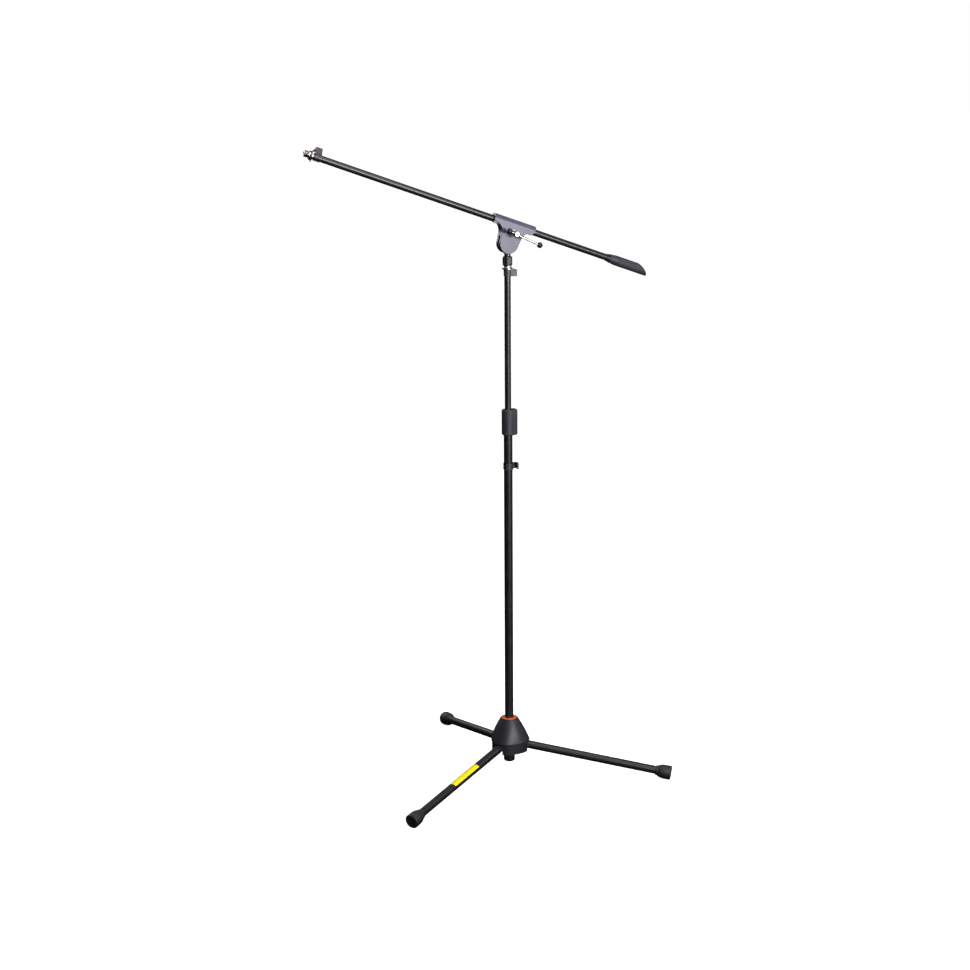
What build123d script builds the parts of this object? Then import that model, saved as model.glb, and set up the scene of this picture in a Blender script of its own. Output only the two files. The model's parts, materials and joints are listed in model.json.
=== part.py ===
from build123d import *
import math
import os

# Boom microphone stand on a folding tripod. Millimetres, +Z up. The origin lies on
# the floor, on the axis of the column. The boom lies in the XZ plane with its
# microphone end towards -X. The clamp handle faces -Y.

# ---------------------------------------------------------------- driving sizes
# General clearances
running_gap = 0.05
free_gap = 0.35
seat_gap = 0.3

# Column tubes
lower_tube_radius = 11.0
upper_tube_radius = 8.0
tube_wall = 1.2
socket_floor_height = 112.0
lower_tube_top = 926.0
upper_tube_bottom = 608.0
upper_tube_top = 1308.0

# Bell housing: a three-lobed ogive that narrows from its rim to its top
bell_rim_height = 98.7
bell_height = 58.3
bell_rim_radius = 49.6
bell_top_wall = 2.3
bell_lobe = 3.1
bell_wall = 3.0
bell_fullness = 1.35
bell_sections = 5
outline_points = 24
socket_wall = 4.5
ring_width = 8.5
ring_seat = 6.0
ring_proud = 0.8

# Leg carrier under the bell
carrier_radius = 46.9
carrier_lobe = 2.2
carrier_depth = 28.7
carrier_boss_radius = 16.5
carrier_boss_tip_radius = 14.0
carrier_boss_depth = 15.0
pocket_radius = 7.0
screw_circle_radius = 35.2
screw_radius = 2.0
screw_head_radius = 3.6
screw_head_height = 2.4
screw_boss_radius = 4.6
screw_grip = 18.0

# Legs
leg_headings = (-27.0, 93.0, 213.0)
hinge_radius = 28.0
hinge_height = 88.2
hinge_pin_radius = 3.0
leg_reach = 416.8
leg_tube_radius = 10.5
heel_radius = 9.8
heel_width = 20.4
heel_plug_length = 30.0
leg_tube_start = 13.0
slot_gap = 0.4
cheek_cover = 4.6
rivet_radius = 2.0
rivet_offset = 9.0

# Feet
foot_length = 40.0
foot_neck_wall = 1.7
foot_end_flare = 7.5
foot_shoulder = 11.0
foot_shoulder_drop = 1.6
foot_end_wall = 8.0
foot_rounding = 2.5
sole_depth = 1.7

# Label on the front left leg
label_start = 120.0
label_length = 112.0
label_thickness = 0.25
label_wrap = 190.0
label_turn = 32.0

# Leg lock: a plate over the heels, drawn down by a knob on a central stud
stud_radius = 4.0
plate_thickness = 4.0
plate_hub_radius = 22.0
plate_arm_radius = 33.0
plate_arm_width = 18.0
stud_head_radius = 7.0
stud_head_height = 3.6
stud_tip_height = 44.5
knob_radius = 14.5
knob_bottom = 39.4
knob_floor = 3.0
knob_chamfer = 3.0
knob_flutes = 8
knob_flute_radius = 2.6
knob_flute_depth = 1.3
insert_radius = 6.5
insert_length = 8.0

# Height clutch
clutch_bottom = 897.5
clutch_height = 64.4
clutch_cap_height = 15.0
clutch_wall = 5.0
clutch_block_width = 23.0
clutch_corner = 6.0
clutch_rounding = 3.0
collet_step = 1.5
collet_wall_gap = 0.5
collet_height = 17.0
collet_slit = 2.0
lever_width = 14.6
lever_length = 33.0
lever_floor_wall = 0.4
lever_clearance = 2.4
lever_depth = 6.9
lever_rounding = 2.0
lever_pin_setback = 4.3
lever_pin_inset = 4.5
lever_pin_radius = 1.5
lever_pin_bite = 2.25
spring_wire_radius = 0.45
spring_coil_radius = 2.4
spring_turns = 4
spring_pitch = 1.35
spring_side_gap = 0.9
bush_length = 40.0
bush_slit = 2.4
plug_flange_height = 3.0
plug_length = 20.0
plug_flange_step = 1.2
stop_ring_height = 3.0

# Threaded adapters, one on the column and one on the boom
thread_radius = 7.94
thread_length = 11.0
flange_radius = 14.5
flange_height = 2.5
flare_height = 6.5
flare_top_radius = 9.6
flare_foot_rise = 0.25
flare_top_lean = 0.05
shank_length = 18.0

# Union nut and swivel neck
nut_wall = 3.71
nut_height = 22.2
nut_lift = 0.3
nut_shoulder = 8.5
nut_flutes = 10
nut_flute_radius = 1.7
nut_flute_depth = 0.85
neck_radius = 7.9
neck_length = 6.1
neck_shank_radius = 6.5
neck_collar_height = 2.6
tongue_thickness = 10.0

# Swivel head, sizes measured from the tilt axis
boom_tilt = 19.43
boom_offset = 46.0
bulb_radius = 24.0
sleeve_half_length = 56.0
sleeve_wall = 4.3
shell_depth = 14.5
shell_split = 0.5
shell_top_rounding = 12.0
shell_end_drop = 3.0
waist_half_width = 26.0
waist_height = 17.0
waist_lean = 0.12
crease_height = 24.0
crease_step = 0.8
disc_radius = 20.6
friction_washer_thickness = 1.5
slot_top = 12.0
pivot_pin_radius = 4.0
pivot_pin_bite = 4.0
liner_wall = 1.6
liner_length = 106.0
liner_slit = 2.0
cavity_wall = 3.5

# Clamp spindle and T-bar
spindle_offset = 26.0
spindle_radius = 4.0
spindle_boss_radius = 8.5
clamp_washer_radius = 9.5
clamp_washer_thickness = 2.0
hub_radius = 7.6
hub_length = 28.0
hub_dome = 3.0
bar_from_face = 21.0
bar_radius = 2.7
bar_ball_radius = 7.2
bar_ball_flat = 6.5
bar_short_end = 19.0
bar_long_end = 68.0
bar_droop = 5.4
clamp_nut_radius = 7.5
clamp_nut_height = 6.5

# Boom
boom_radius = 8.0
boom_reach = 552.0
boom_rear = 352.0
grip_start = 273.0
grip_wall = 4.5
grip_mouth_wall = 2.6
grip_taper = 17.0
grip_end = 385.0
grip_end_rounding = 3.0
grip_slant = 50.0
grip_flutes = 18
grip_flute_radius = 0.9
grip_flute_depth = 0.6
grip_flute_start = 297.0
grip_collar_length = 8.0
grip_collar_wall = 1.6

# Cable clips
clip_height = 16.0
clip_wall = 1.9
clip_gap = 10.6
clip_hook_half_width = 8.0
clip_lip = 2.6
clip_ring_opening = 70.0
clip_groove_depth = 0.6
clip_groove_width = 2.0
lower_clip_height = 817.5
upper_clip_drop = 9.0
boom_clip_inset = 14.5
boom_clip_heading = 150.0

# ---------------------------------------------------------------- derived places
# Base and legs
bell_top_height = bell_rim_height + bell_height
ring_radius = lower_tube_radius + ring_width
bell_top_radius = ring_radius + bell_top_wall
carrier_bottom = bell_rim_height - carrier_depth
lower_tube_bore = lower_tube_radius - tube_wall
upper_tube_bore = upper_tube_radius - tube_wall
foot_neck_radius = leg_tube_radius + foot_neck_wall
foot_end_radius = leg_tube_radius + foot_end_flare
foot_axis_height = foot_end_radius - sole_depth
leg_slope = math.degrees(math.atan2(hinge_height - foot_axis_height, leg_reach - hinge_radius))
leg_length = math.hypot(hinge_height - foot_axis_height, leg_reach - hinge_radius)
leg_tube_end = leg_length - foot_end_wall
slot_half_width = max(leg_tube_radius, heel_width / 2) + slot_gap
slot_start = hinge_radius - heel_radius - free_gap
plate_height = hinge_height + heel_radius + seat_gap

# Clutch
plug_flange_radius = upper_tube_radius + plug_flange_step
clutch_top = clutch_bottom + clutch_height
clutch_split = clutch_top - clutch_cap_height
clutch_radius = lower_tube_radius + clutch_wall
collet_radius = lower_tube_radius + collet_step
collet_room_radius = collet_radius + collet_wall_gap
lever_recess_floor = collet_room_radius + lever_floor_wall
lever_back = lever_recess_floor + lever_clearance
clutch_reach = lever_back + lever_depth
lever_pin_reach = clutch_reach - lever_pin_setback
lever_bottom = clutch_bottom + (clutch_height - lever_length) / 2
lever_pin_height = lever_bottom + lever_length - lever_pin_inset
spring_room_width = spring_turns * spring_pitch + 2 * spring_side_gap

# Swivel and boom
nut_radius = thread_radius + free_gap + nut_wall
nut_bottom = upper_tube_top + flange_height + flare_height + nut_lift
nut_top = nut_bottom + nut_height
neck_top = nut_top + free_gap + neck_length
pivot_height = neck_top + free_gap + bulb_radius
boom_bore = boom_radius - tube_wall
liner_radius = boom_radius + running_gap + liner_wall
sleeve_radius = liner_radius + running_gap + sleeve_wall
cheek_depth = tongue_thickness / 2 + friction_washer_thickness + running_gap
boom_front = boom_reach - thread_length - flare_height - flange_height
grip_radius = boom_radius + grip_wall
grip_mouth_radius = boom_radius + grip_mouth_wall
grip_collar_radius = boom_radius + grip_collar_wall

head_place = Pos(0, 0, pivot_height) * Rot(0, boom_tilt, 0)
boom_place = head_place * Pos(0, 0, boom_offset) * Rot(0, 90, 0)
spindle_place = head_place * Pos(0, 0, spindle_offset) * Rot(90, 0, 0)
bar_place = head_place * Pos(0, -shell_depth - bar_from_face, spindle_offset) * Rot(0, 90 + bar_droop, 0)


# ---------------------------------------------------------------- building blocks
def rod(radius, low, high):
    """A solid round bar on Z, from low to high."""
    return Pos(0, 0, (low + high) / 2) * Cylinder(radius, high - low)


def ring(outer, inner, low, high):
    """A round tube on Z, from low to high."""
    return rod(outer, low, high) - rod(inner, low, high)


def turned(*outline):
    """A turned solid: the closed outline (radius, height) swept about Z."""
    face = make_face(Plane.XZ * Polyline(*outline, close=True))
    return revolve(face, Axis.Z)


def around(count, radius, make):
    """Copies of a shape spaced evenly on a circle about Z."""
    step = 360 / count
    return [Rot(0, 0, step * i) * Pos(radius, 0, 0) * make for i in range(count)]


def flutes(count, radius, flute_radius, depth, low, high):
    """Round cutters on Z that sink into a bar of this radius by depth."""
    return around(count, radius + flute_radius - depth, rod(flute_radius, low, high))


def hexagon_bar(radius, low, high):
    """A hexagonal bar on Z whose corners lie on the radius."""
    return Pos(0, 0, low) * extrude(RegularPolygon(radius, 6), high - low)


def lobed_face(radius, lobe, height):
    """A closed outline whose radius swells by lobe over each leg."""
    points = []
    for i in range(outline_points):
        turn = math.radians(360 / outline_points * i)
        reach = radius + lobe * math.cos(3 * turn)
        heading = turn + math.radians(leg_headings[0])
        points.append((reach * math.cos(heading), reach * math.sin(heading), height))
    return make_face(Spline(*points, periodic=True))


def bell_form(inset, top, bottom):
    """The bell's body of lobed sections, shrunk by inset all round."""
    sections = []
    for i in range(bell_sections):
        height = bottom + (top - bottom) * i / (bell_sections - 1)
        drop = (bell_top_height - height) / bell_height
        swell = drop * (bell_fullness - (bell_fullness - 1) * drop)
        radius = bell_top_radius + (bell_rim_radius - bell_top_radius) * swell - inset
        sections.append(lobed_face(radius, bell_lobe * drop * drop, height))
    return loft(sections)


def leg_place(heading):
    """The frame of one leg: origin on its hinge pin, X along the leg."""
    return Rot(0, 0, heading) * Pos(hinge_radius, 0, hinge_height) * Rot(0, leg_slope, 0)


def between_legs(heading):
    """The heading half way from this leg to the next."""
    return heading + 180 / len(leg_headings)


# ---------------------------------------------------------------- base
def bell_housing():
    top = bell_top_height
    roof = top - ring_seat - bell_wall
    body = bell_form(0, top, bell_rim_height)
    body -= bell_form(bell_wall, roof, bell_rim_height)
    body += rod(lower_tube_radius + socket_wall, socket_floor_height - socket_wall, roof)
    body -= rod(lower_tube_radius, socket_floor_height, top)
    body -= rod(ring_radius, top - ring_seat, top)
    for heading in leg_headings:
        spot = Rot(0, 0, between_legs(heading)) * Pos(screw_circle_radius, 0, 0)
        boss = spot * rod(screw_boss_radius, bell_rim_height, bell_rim_height + screw_grip)
        body += boss & bell_form(bell_wall / 2, roof, bell_rim_height)
        body -= spot * rod(screw_radius, bell_rim_height, bell_rim_height + screw_grip - bell_wall)
    return body


def column_ring():
    top = bell_top_height + ring_proud
    body = ring(ring_radius, lower_tube_radius, bell_top_height - ring_seat, top)
    rims = body.edges().filter_by(GeomType.CIRCLE).group_by(Axis.Z)[-1]
    return fillet(rims, ring_proud)


def leg_carrier():
    body = extrude(lobed_face(carrier_radius, carrier_lobe, carrier_bottom), carrier_depth)
    boss_tip = carrier_bottom - carrier_boss_depth
    body += turned((0, boss_tip), (carrier_boss_tip_radius, boss_tip),
                   (carrier_boss_radius, carrier_bottom), (carrier_boss_radius, bell_rim_height),
                   (0, bell_rim_height))
    for heading in leg_headings:
        body -= leg_slot(heading)
        spot = Rot(0, 0, between_legs(heading)) * Pos(screw_circle_radius, 0, 0)
        body -= spot * rod(pocket_radius, carrier_bottom, bell_rim_height - cheek_cover)
        body -= spot * rod(screw_radius, carrier_bottom, bell_rim_height)
        body -= hinge_pin(heading, hinge_pin_radius)
    body -= three_arms(free_gap, plate_height - seat_gap, bell_rim_height)
    return body - rod(stud_radius + running_gap, boss_tip, bell_rim_height)


def leg_slot(heading):
    """The room one leg needs in the carrier, open downwards and outwards."""
    reach = bell_rim_radius + bell_lobe
    width = 2 * slot_half_width
    drop = hinge_height - carrier_bottom + carrier_boss_depth
    below = Box(reach, width, drop, align=(Align.MIN, Align.CENTER, Align.MAX))
    below = Rot(0, 0, heading) * Pos(slot_start, 0, hinge_height) * below
    heel_room = Rot(90, 0, 0) * Cylinder(heel_radius + free_gap, width)
    shank_room = Rot(0, 90, 0) * rod(leg_tube_radius + slot_gap, 0, reach)
    return below + leg_place(heading) * (heel_room + shank_room)


def hinge_pin(heading, radius):
    bar = Rot(90, 0, 0) * Cylinder(radius, 2 * (slot_half_width + cheek_cover))
    return Rot(0, 0, heading) * Pos(hinge_radius, 0, hinge_height) * bar


def leg_hinge_pins():
    return Compound([hinge_pin(heading, hinge_pin_radius) for heading in leg_headings])


def carrier_screws():
    seat = bell_rim_height - cheek_cover
    shank = rod(screw_radius, seat, seat + screw_grip - bell_wall)
    head = rod(screw_head_radius, seat - screw_head_height, seat)
    socket = hexagon_bar(screw_radius, seat - screw_head_height, seat - screw_head_height / 2)
    screw = shank + head - socket
    return Compound([Rot(0, 0, between_legs(heading)) * Pos(screw_circle_radius, 0, 0) * screw
                     for heading in leg_headings])


def three_arms(gap, low, high):
    """A hub with an arm over each leg, grown by gap all round."""
    body = rod(plate_hub_radius + gap, low, high)
    arm = Box(plate_arm_radius + gap, plate_arm_width + 2 * gap, high - low,
              align=(Align.MIN, Align.CENTER, Align.MIN))
    for heading in leg_headings:
        body += Rot(0, 0, heading) * Pos(0, 0, low) * arm
    return body


def lock_plate():
    top = plate_height + plate_thickness
    return three_arms(0, plate_height, top) - rod(stud_radius, plate_height, top)


def lock_stud():
    head_bottom = plate_height + plate_thickness
    return rod(stud_radius, stud_tip_height, head_bottom) + hexagon_bar(
        stud_head_radius, head_bottom, head_bottom + stud_head_height)


def lock_knob():
    top = carrier_bottom - carrier_boss_depth - seat_gap
    body = turned((0, knob_bottom), (knob_radius - knob_chamfer, knob_bottom),
                  (knob_radius, knob_bottom + knob_chamfer), (knob_radius, top), (0, top))
    for cut in flutes(knob_flutes, knob_radius, knob_flute_radius, knob_flute_depth, knob_bottom, top):
        body -= cut
    body -= rod(insert_radius, top - insert_length, top)
    return body - rod(stud_radius + free_gap, knob_bottom + knob_floor, top)


def knob_insert():
    top = carrier_bottom - carrier_boss_depth - seat_gap
    return ring(insert_radius, stud_radius + running_gap, top - insert_length, top)


# ---------------------------------------------------------------- legs
def leg_tube(heading):
    body = ring(leg_tube_radius, leg_tube_radius - tube_wall, leg_tube_start, leg_tube_end)
    return leg_place(heading) * (Rot(0, 90, 0) * body - rivet_bar())


def leg_heel(heading):
    """A solid root: a round heel on the hinge pin and a plug inside the tube."""
    round_end = Rot(90, 0, 0) * Cylinder(heel_radius, heel_width)
    block = Box(leg_tube_start, heel_width, 2 * heel_radius,
                align=(Align.MIN, Align.CENTER, Align.CENTER))
    block &= Rot(0, 90, 0) * rod(leg_tube_radius, 0, leg_tube_start)
    plug_end = leg_tube_start + heel_plug_length
    plug = Rot(0, 90, 0) * rod(leg_tube_radius - tube_wall, leg_tube_start, plug_end)
    body = round_end + block + plug
    body -= Rot(90, 0, 0) * Cylinder(hinge_pin_radius + running_gap, heel_width)
    return leg_place(heading) * (body - rivet_bar())


def rivet_bar():
    """A cross rivet through the leg tube and the plug inside it."""
    bar = Rot(90, 0, 0) * Cylinder(rivet_radius, 2 * leg_tube_radius)
    return Pos(leg_tube_start + rivet_offset, 0, 0) * bar


def heel_rivet(heading):
    return leg_place(heading) * rivet_bar()


def rubber_foot(heading):
    start = leg_length - foot_length
    shoulder = foot_end_radius - foot_shoulder_drop
    outer = turned((0, start), (foot_neck_radius, start), (shoulder, start + foot_shoulder),
                   (foot_end_radius, leg_length), (0, leg_length))
    end_edge = outer.edges().filter_by(GeomType.CIRCLE).group_by(Axis.Z)[-1]
    outer = fillet(end_edge, foot_rounding)
    outer -= rod(leg_tube_radius, start, leg_tube_end)
    foot = leg_place(heading) * Rot(0, 90, 0) * outer
    span = 2 * (leg_reach + foot_end_radius)
    return foot - Box(span, span, foot_end_radius, align=(Align.CENTER, Align.CENTER, Align.MAX))


def leg_label():
    """A thin plain sticker, wrapped round the upper side of the front left leg."""
    outer = leg_tube_radius + label_thickness
    body = ring(outer, leg_tube_radius, label_start, label_start + label_length)
    keep = Pos(0, 0, label_start) * extrude(
        make_face([Line((0, 0), (2 * outer, 0)), CenterArc((0, 0), 2 * outer, 0, label_wrap),
                   Line(Vector(2 * outer, 0, 0).rotate(Axis.Z, label_wrap), (0, 0))]), label_length)
    turn = Rot(0, 0, 180 - label_wrap / 2 + label_turn)
    return leg_place(leg_headings[2]) * Rot(0, 90, 0) * turn * (body & keep)


# ---------------------------------------------------------------- column
def lower_tube():
    return ring(lower_tube_radius, lower_tube_bore, socket_floor_height, lower_tube_top)


def upper_tube():
    return ring(upper_tube_radius, upper_tube_bore, upper_tube_bottom, upper_tube_top)


def guide_bush():
    """A split nylon bush that runs in the lower tube and carries the upper tube."""
    low = upper_tube_bottom + running_gap
    body = ring(lower_tube_bore - running_gap, upper_tube_radius + running_gap, low, low + bush_length)
    slit = Box(2 * lower_tube_radius, bush_slit, bush_length, align=(Align.MIN, Align.CENTER, Align.MIN))
    return body - Pos(0, 0, low) * slit


def upper_tube_plug():
    shank = rod(upper_tube_bore, upper_tube_bottom, upper_tube_bottom + plug_length)
    flange = rod(plug_flange_radius, upper_tube_bottom - plug_flange_height, upper_tube_bottom)
    return shank + flange


def stop_ring():
    """A pressed ring on the upper tube that keeps the guide bush in its place."""
    low = upper_tube_bottom + bush_length + 2 * free_gap
    return ring(plug_flange_radius, upper_tube_radius, low, low + stop_ring_height)


def clutch_outline():
    block = Pos(clutch_reach / 2, 0) * RectangleRounded(clutch_reach, clutch_block_width, clutch_corner)
    return make_hull((Circle(clutch_radius) + block).edges())


def clutch_solid(low, high, rounded):
    body = Pos(0, 0, low) * extrude(clutch_outline(), high - low)
    side = 0 if rounded == "bottom" else -1
    return fillet(body.edges().group_by(Axis.Z)[side], clutch_rounding)


def lever_recess():
    reach = clutch_reach - lever_recess_floor
    width = lever_width + 2 * free_gap
    room = Box(2 * reach, width, lever_length + 2 * free_gap, align=(Align.MIN, Align.CENTER, Align.MIN))
    return Pos(lever_recess_floor, 0, lever_bottom - free_gap) * room


def lever_pin_bar(radius):
    length = lever_width + 2 * (free_gap + lever_pin_bite)
    return Pos(lever_pin_reach, 0, lever_pin_height) * Rot(90, 0, 0) * Cylinder(radius, length)


def clutch_body():
    body = clutch_solid(clutch_bottom, clutch_split, "bottom")
    body -= rod(lower_tube_radius, clutch_bottom, lower_tube_top)
    body -= rod(collet_room_radius, lower_tube_top, clutch_split)
    body -= lever_recess()
    return body - lever_pin_bar(lever_pin_radius)


def clutch_cap():
    body = clutch_solid(clutch_split, clutch_top, "top")
    return body - rod(upper_tube_radius + free_gap, clutch_split, clutch_top)


def clutch_collet():
    """A split steel collet that grips the upper tube inside the clutch."""
    body = ring(collet_radius, upper_tube_radius + free_gap, lower_tube_top, lower_tube_top + collet_height)
    slit = Box(2 * collet_radius, collet_slit, collet_height, align=(Align.MIN, Align.CENTER, Align.MIN))
    return body - Rot(0, 0, 180) * Pos(0, 0, lower_tube_top) * slit


def clutch_lever():
    body = Box(lever_depth, lever_width, lever_length, align=(Align.MIN, Align.CENTER, Align.MIN))
    body = Pos(lever_back, 0, lever_bottom) * body
    body = fillet(body.edges().filter_by(Axis.Z).group_by(Axis.X)[-1], lever_rounding)
    coil = spring_coil_radius + spring_wire_radius + free_gap
    spring_room = Box(2 * coil, spring_room_width, 2 * coil,
                      align=(Align.MAX, Align.CENTER, Align.CENTER))
    body -= Pos(lever_pin_reach + coil, 0, lever_pin_height) * spring_room
    return body - lever_pin_bar(lever_pin_radius + running_gap)


def lever_spring():
    """A torsion spring wound on the lever's pin."""
    length = spring_pitch * spring_turns
    path = Helix(spring_pitch, length, spring_coil_radius)
    section = Plane(origin=path @ 0, z_dir=path % 0) * Circle(spring_wire_radius)
    coil = sweep(section, path, is_frenet=True)
    return Pos(lever_pin_reach, length / 2, lever_pin_height) * Rot(90, 0, 0) * coil


def lever_pin():
    return lever_pin_bar(lever_pin_radius)


def thread_adapter(bore):
    """A flanged adapter on Z: a shank in the bore, the flange at zero, the thread on top."""
    flare_top = flange_height + flare_height
    flare = Spline((flange_radius, flange_height), (flare_top_radius, flare_top),
                   tangents=[(-1, flare_foot_rise), (-flare_top_lean, 1)])
    outline = [Line((0, -shank_length), (bore, -shank_length)),
               Line((bore, -shank_length), (bore, 0)),
               Line((bore, 0), (flange_radius, 0)),
               Line((flange_radius, 0), (flange_radius, flange_height)),
               flare,
               Line((flare_top_radius, flare_top), (thread_radius, flare_top)),
               Line((thread_radius, flare_top), (thread_radius, flare_top + thread_length)),
               Line((thread_radius, flare_top + thread_length), (0, flare_top + thread_length)),
               Line((0, flare_top + thread_length), (0, -shank_length))]
    return revolve(make_face([Plane.XZ * edge for edge in outline]), Axis.Z)


def column_adapter():
    return Pos(0, 0, upper_tube_top) * thread_adapter(upper_tube_bore)


# ---------------------------------------------------------------- cable clips
def cable_clip(tube_radius, closed_side):
    """A snap ring on Z with an open hook towards +X; closed_side is +1 or -1 in Y."""
    inner = tube_radius + running_gap
    outer = tube_radius + clip_wall
    far = outer + clip_gap
    half = clip_hook_half_width
    body = Circle(outer) - Circle(inner)
    side = 2 * outer
    spread = side * math.tan(math.radians(clip_ring_opening / 2))
    body -= make_face(Polyline((0, 0), (-side, spread), (-side, -spread), close=True))
    edge = half - clip_wall / 2
    arm = Pos((far + clip_wall) / 2, closed_side * edge) * Rectangle(far + clip_wall, clip_wall)
    arm -= Circle(inner)
    wall = Pos(far + clip_wall / 2, 0) * Rectangle(clip_wall, 2 * half)
    lip = Rectangle(clip_lip + clip_wall, clip_wall)
    lip = Pos(far + (clip_wall - clip_lip) / 2, -closed_side * edge) * lip
    solid = Pos(0, 0, -clip_height / 2) * extrude(body + arm + wall + lip, clip_height)
    groove = ring(2 * outer, outer - clip_groove_depth, -clip_groove_width / 2, clip_groove_width / 2)
    groove -= Pos(outer, 0, 0) * Box(2 * outer, 4 * outer, clip_height)
    return solid - groove


def lower_cable_clip():
    return Pos(0, 0, lower_clip_height) * cable_clip(lower_tube_radius, 1)


def upper_cable_clip():
    return Pos(0, 0, upper_tube_top - upper_clip_drop) * cable_clip(upper_tube_radius, -1)


def boom_cable_clip():
    clip = Rot(0, 0, boom_clip_heading) * cable_clip(boom_radius, 1)
    return boom_place * Pos(0, 0, boom_clip_inset - boom_front) * clip


# ---------------------------------------------------------------- swivel
def union_nut():
    body = rod(nut_radius, nut_bottom, nut_top)
    body = fillet(body.edges().filter_by(GeomType.CIRCLE), nut_flute_radius)
    for cut in flutes(nut_flutes, nut_radius, nut_flute_radius, nut_flute_depth, nut_bottom, nut_top):
        body -= cut
    body -= rod(thread_radius + free_gap, nut_bottom, nut_top - nut_shoulder)
    return body - rod(neck_shank_radius + running_gap, nut_bottom, nut_top)


def swivel_neck():
    """A collar held in the nut, a round neck, and a flat tongue with a disc."""
    shoulder = nut_top - nut_shoulder - running_gap
    body = rod(thread_radius, shoulder - neck_collar_height, shoulder)
    body += rod(neck_shank_radius, shoulder - neck_collar_height, nut_top + free_gap)
    body += rod(neck_radius, nut_top + free_gap, neck_top)
    low = neck_top - free_gap
    tongue = Box(2 * neck_radius, tongue_thickness, pivot_height - low,
                 align=(Align.CENTER, Align.CENTER, Align.MIN))
    body += Pos(0, 0, low) * tongue
    body += Pos(0, 0, pivot_height) * Rot(90, 0, 0) * Cylinder(disc_radius, tongue_thickness)
    return body - Pos(0, 0, pivot_height) * Rot(90, 0, 0) * Cylinder(
        pivot_pin_radius + running_gap, tongue_thickness)


def friction_washers():
    inner = tongue_thickness / 2 + running_gap
    washer = ring(disc_radius, pivot_pin_radius + running_gap, inner, inner + friction_washer_thickness)
    return head_place * Compound([Rot(90, 0, 0) * washer, Rot(-90, 0, 0) * washer])


def shell_outline():
    """The head's side outline: a straight sleeve on a round bulb."""
    top = boom_offset + sleeve_radius
    end = boom_offset - shell_end_drop
    half = sleeve_half_length
    right = Spline((half, end), (waist_half_width, waist_height),
                   tangents=[(-1, -waist_lean), (-waist_lean, -1)])
    left = Spline((-waist_half_width, waist_height), (-half, end),
                  tangents=[(-waist_lean, 1), (-1, waist_lean)])
    edges = [Line((-half, end), (-half, top)), Line((-half, top), (half, top)),
             Line((half, top), (half, end)), right,
             Line((waist_half_width, waist_height), (bulb_radius, 0)),
             ThreePointArc((bulb_radius, 0), (0, -bulb_radius), (-bulb_radius, 0)),
             Line((-bulb_radius, 0), (-waist_half_width, waist_height)), left]
    return make_face(edges)


def sleeve_envelope():
    """The head's end outline, round at the top, carried along the sleeve."""
    top = boom_offset + sleeve_radius
    height = top + bulb_radius
    block = Box(2 * sleeve_half_length, 2 * shell_depth, height,
                align=(Align.CENTER, Align.CENTER, Align.MIN))
    block = Pos(0, 0, -bulb_radius) * block
    return fillet(block.edges().filter_by(Axis.X).group_by(Axis.Z)[-1], shell_top_rounding)


def head_block():
    body = Pos(0, shell_depth, 0) * Rot(90, 0, 0) * extrude(shell_outline(), 2 * shell_depth)
    body &= sleeve_envelope()
    height = crease_height + bulb_radius
    for side in (-1, 1):
        step = Box(2 * sleeve_half_length, 2 * crease_step, height,
                   align=(Align.CENTER, Align.CENTER, Align.MAX))
        body -= Pos(0, side * shell_depth, crease_height) * step
    return body


def swivel_shell(side):
    """One half shell; side is -1 for the front and +1 for the rear."""
    span = 4 * sleeve_half_length
    half = Box(span, shell_depth, span, align=(Align.CENTER, Align.MIN, Align.CENTER))
    body = head_block() & Rot(0, 0, 0 if side > 0 else 180) * Pos(0, shell_split, 0) * half
    slot = Box(span, tongue_thickness + 2 * free_gap, slot_top + bulb_radius + free_gap,
               align=(Align.CENTER, Align.CENTER, Align.MAX))
    body -= Pos(0, 0, slot_top) * slot
    body -= Rot(90, 0, 0) * Cylinder(disc_radius + free_gap, 2 * cheek_depth)
    body -= Pos(0, 0, boom_offset) * Rot(0, 90, 0) * Cylinder(liner_radius + running_gap, span)
    body -= Rot(90, 0, 0) * Cylinder(pivot_pin_radius, 2 * (cheek_depth + pivot_pin_bite))
    body -= Pos(0, 0, spindle_offset) * Rot(90, 0, 0) * Cylinder(spindle_radius + running_gap, span)
    body -= shell_cavity(side)
    if side > 0:
        pocket = hexagon_bar(clamp_nut_radius, 0, clamp_nut_height)
        body -= Pos(0, shell_depth, spindle_offset) * Rot(90, 0, 0) * pocket
    return head_place * body


def shell_cavity(side):
    """The hollow between the disc pocket and the boom's bore, round the spindle's boss."""
    low = disc_radius + cavity_wall
    high = boom_offset - liner_radius - cavity_wall
    wide = 2 * (waist_half_width - cavity_wall)
    deep = shell_depth - shell_split - crease_step - cavity_wall
    room = Box(wide, deep, high - low, align=(Align.CENTER, Align.MIN, Align.MIN))
    boss = Rot(90, 0, 0) * Cylinder(spindle_boss_radius, 2 * deep)
    room -= Pos(0, deep / 2, spindle_offset - low) * boss
    return Rot(0, 0, 0 if side > 0 else 180) * Pos(0, shell_split, low) * room


def pivot_pin():
    return head_place * Rot(90, 0, 0) * Cylinder(pivot_pin_radius, 2 * (cheek_depth + pivot_pin_bite))


def clamp_nut():
    low = -shell_depth
    nut = hexagon_bar(clamp_nut_radius, low, low + clamp_nut_height)
    return spindle_place * (nut - rod(spindle_radius + running_gap, low, low + clamp_nut_height))


def clamp_washer():
    low = shell_depth + running_gap
    high = low + clamp_washer_thickness
    return spindle_place * ring(clamp_washer_radius, spindle_radius + running_gap, low, high)


def clamp_spindle():
    face = shell_depth + clamp_washer_thickness + 2 * running_gap
    shank = rod(spindle_radius, -shell_depth, face)
    hub = rod(hub_radius, face, face + hub_length)
    hub = fillet(hub.edges().group_by(Axis.Z)[-1], hub_dome)
    hole = Cylinder(bar_radius + running_gap, 4 * hub_radius)
    return spindle_place * (shank + hub) - bar_place * hole


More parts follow.
